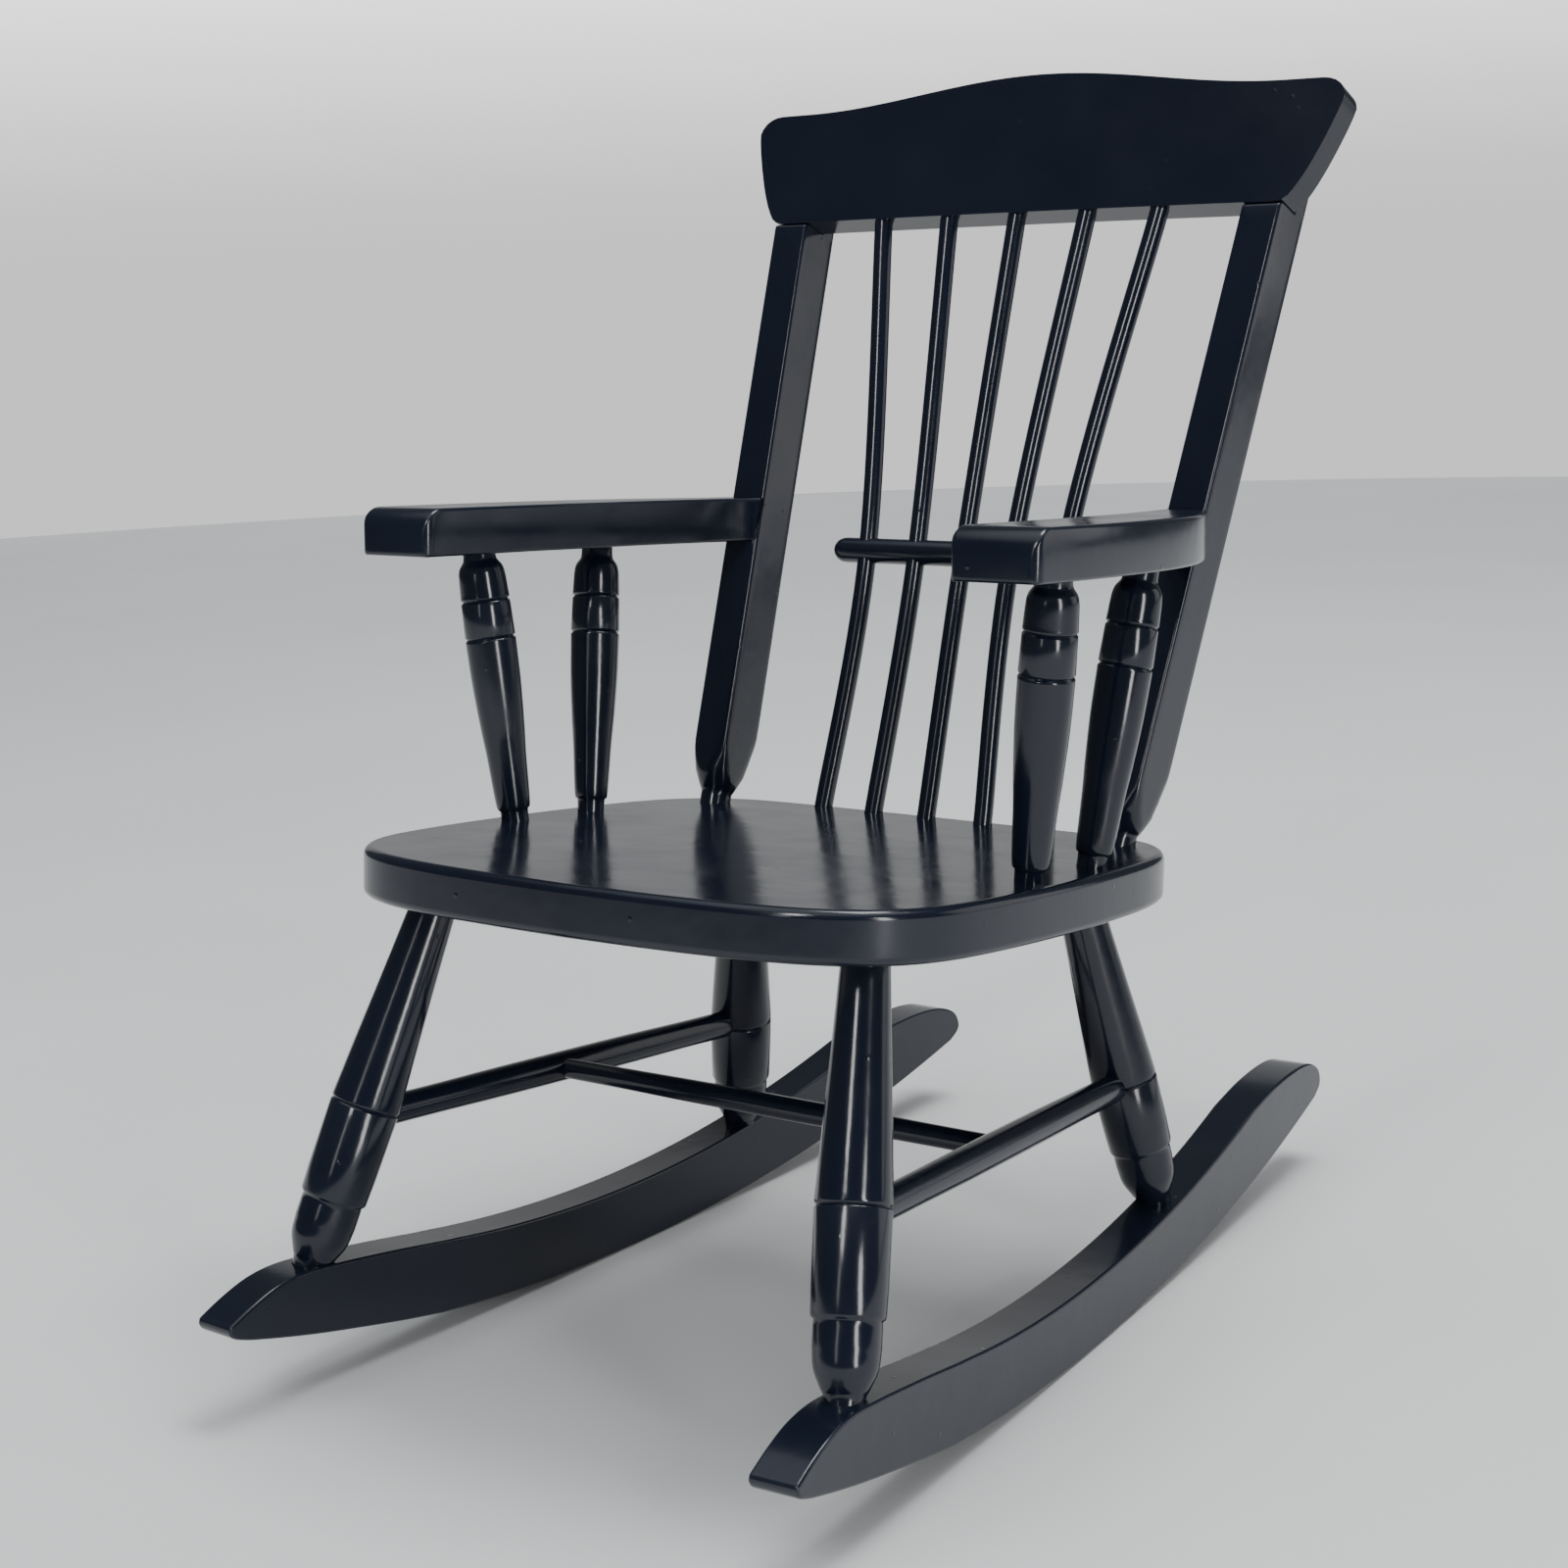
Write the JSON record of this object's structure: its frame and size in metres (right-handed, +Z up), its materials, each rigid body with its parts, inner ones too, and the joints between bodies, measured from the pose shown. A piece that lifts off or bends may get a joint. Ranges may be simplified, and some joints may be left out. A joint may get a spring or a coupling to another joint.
{
  "type": "rocking chair",
  "caption": "Child's spindle-back rocking chair with turned legs, flat arms on turned supports, shaped crest rail and curved rockers.",
  "frame": {"origin": "middle of the footprint at floor level, under the chair at its rest lean", "axes": "+X to the sitter's left, +Y to the back of the chair, +Z up"},
  "size_m": [0.39, 0.5908, 0.6224],
  "materials": {
    "paint": "gloss blue-black paint",
    "dowel_wood": "bare beech"
  },
  "bodies": {
    "root": {"arm_dowel_left": "dowel_wood", "arm_dowel_right": "dowel_wood", "arm_left": "paint", "arm_right": "paint", "arm_support_front_left": "paint", "arm_support_front_right": "paint", "arm_support_rear_left": "paint", "arm_support_rear_right": "paint", "back_post_left": "paint", "back_post_right": "paint", "crest_dowel_left": "dowel_wood", "crest_dowel_right": "dowel_wood", "crest_rail": "paint", "cross_stretcher": "paint", "front_leg_left": "paint", "front_leg_right": "paint", "lumbar_bar": "paint", "rear_leg_left": "paint", "rear_leg_right": "paint", "rocker_left": "paint", "rocker_right": "paint", "seat_board": "paint", "side_stretcher_left": "paint", "side_stretcher_right": "paint", "spindle_left_inner": "paint", "spindle_left_outer": "paint", "spindle_middle": "paint", "spindle_right_inner": "paint", "spindle_right_outer": "paint"}
  },
  "joints": []
}
